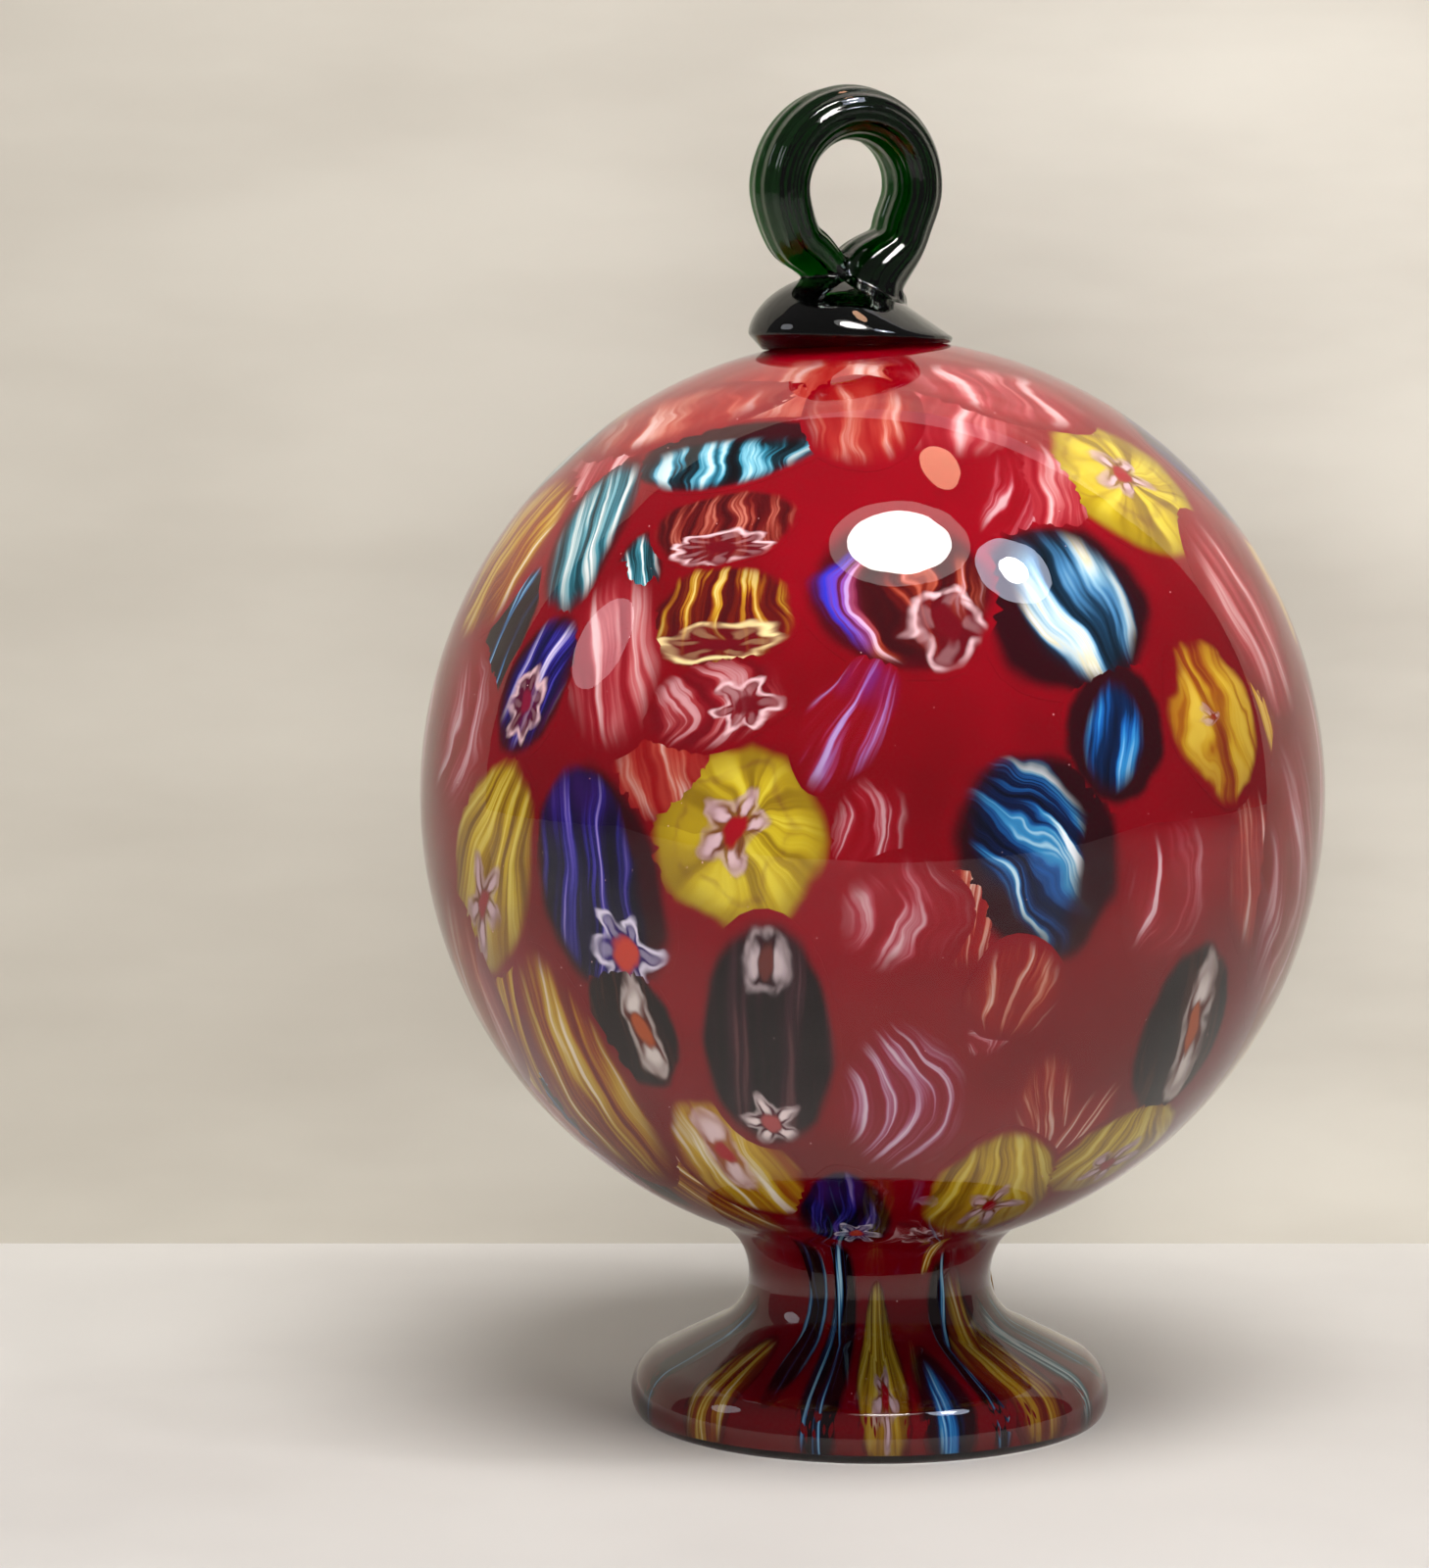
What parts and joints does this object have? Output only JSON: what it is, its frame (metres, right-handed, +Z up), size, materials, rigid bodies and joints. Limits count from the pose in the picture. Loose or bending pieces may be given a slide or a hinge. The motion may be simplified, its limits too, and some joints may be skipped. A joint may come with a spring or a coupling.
{
  "type": "millefiori glass ornament",
  "caption": "Ruby blown-glass globe on a flared foot, with patterned cane slices under a clear casing and a green glass hanging loop.",
  "frame": {"origin": "centre of the standing ring, on the table", "axes": "+Z up the globe's axis towards the hanging loop; -Y is the front, which the loop faces a little to the right of"},
  "size_m": [0.099, 0.099, 0.146],
  "materials": {
    "ruby_glass": "opaque deep-red glass, fire-polished",
    "clear_glass": "clear, colourless casing, fire-polished",
    "green_glass": "dark emerald transparent glass, ribbed along the rod",
    "yellow_cane": "opaque yellow patterned cane",
    "dark_cane": "near-black amethyst patterned cane",
    "blue_cane": "cobalt blue patterned cane",
    "turquoise_cane": "turquoise and white patterned cane",
    "white_cane": "white lace patterned cane",
    "red_cane": "red and white patterned cane",
    "orange_cane": "orange and white patterned cane",
    "violet_cane": "violet and pink patterned cane"
  },
  "bodies": {
    "root": {"clear_casing": "clear_glass", "hanging_loop": "green_glass", "murrina_blue_lace_01": "blue_cane", "murrina_blue_star_01": "blue_cane", "murrina_blue_star_02": "blue_cane", "murrina_blue_star_03": "blue_cane", "murrina_blue_star_04": "blue_cane", "murrina_blue_stripe_01": "blue_cane", "murrina_blue_stripe_02": "blue_cane", "murrina_blue_swirl_01": "turquoise_cane", "murrina_dark_oval_01": "dark_cane", "murrina_dark_oval_02": "dark_cane", "murrina_dark_oval_03": "dark_cane", "murrina_dark_star_01": "dark_cane", "murrina_dark_star_02": "dark_cane", "murrina_dark_stripe_01": "dark_cane", "murrina_dark_stripe_02": "dark_cane", "murrina_orange_rays_01": "orange_cane", "murrina_orange_stripe_01": "orange_cane", "murrina_orange_stripe_02": "orange_cane", "murrina_orange_stripe_03": "orange_cane", "murrina_pink_stripe_01": "white_cane", "murrina_pink_stripe_02": "white_cane", "murrina_red_bell_01": "red_cane", "murrina_red_bell_02": "red_cane", "murrina_red_bell_03": "red_cane", "murrina_red_lace_01": "red_cane", "murrina_ruby_star_01": "red_cane", "murrina_turquoise_arch_01": "turquoise_cane", "murrina_turquoise_stripe_01": "turquoise_cane", "murrina_turquoise_stripe_02": "turquoise_cane", "murrina_turquoise_stripe_03": "turquoise_cane", "murrina_turquoise_stripe_04": "turquoise_cane", "murrina_violet_arcs_01": "violet_cane", "murrina_violet_trail_01": "violet_cane", "murrina_white_lace_01": "white_cane", "murrina_white_lace_02": "white_cane", "murrina_white_lace_03": "white_cane", "murrina_white_lace_04": "white_cane", "murrina_white_lace_05": "white_cane", "murrina_white_stripe_01": "white_cane", "murrina_white_stripe_02": "white_cane", "murrina_yellow_bell_01": "yellow_cane", "murrina_yellow_fan_01": "yellow_cane", "murrina_yellow_fan_02": "yellow_cane", "murrina_yellow_fan_03": "yellow_cane", "murrina_yellow_flower_01": "yellow_cane", "murrina_yellow_flower_02": "yellow_cane", "murrina_yellow_flower_03": "yellow_cane", "murrina_yellow_flower_04": "yellow_cane", "murrina_yellow_lump_01": "yellow_cane", "murrina_yellow_star_01": "yellow_cane", "murrina_yellow_star_02": "yellow_cane", "murrina_yellow_stripe_01": "yellow_cane", "murrina_yellow_stripe_02": "yellow_cane", "murrina_yellow_stripe_03": "yellow_cane", "murrina_yellow_stripe_04": "yellow_cane", "murrina_yellow_stripe_05": "yellow_cane", "murrina_yellow_stripe_06": "yellow_cane", "ruby_core": "ruby_glass"}
  },
  "joints": []
}
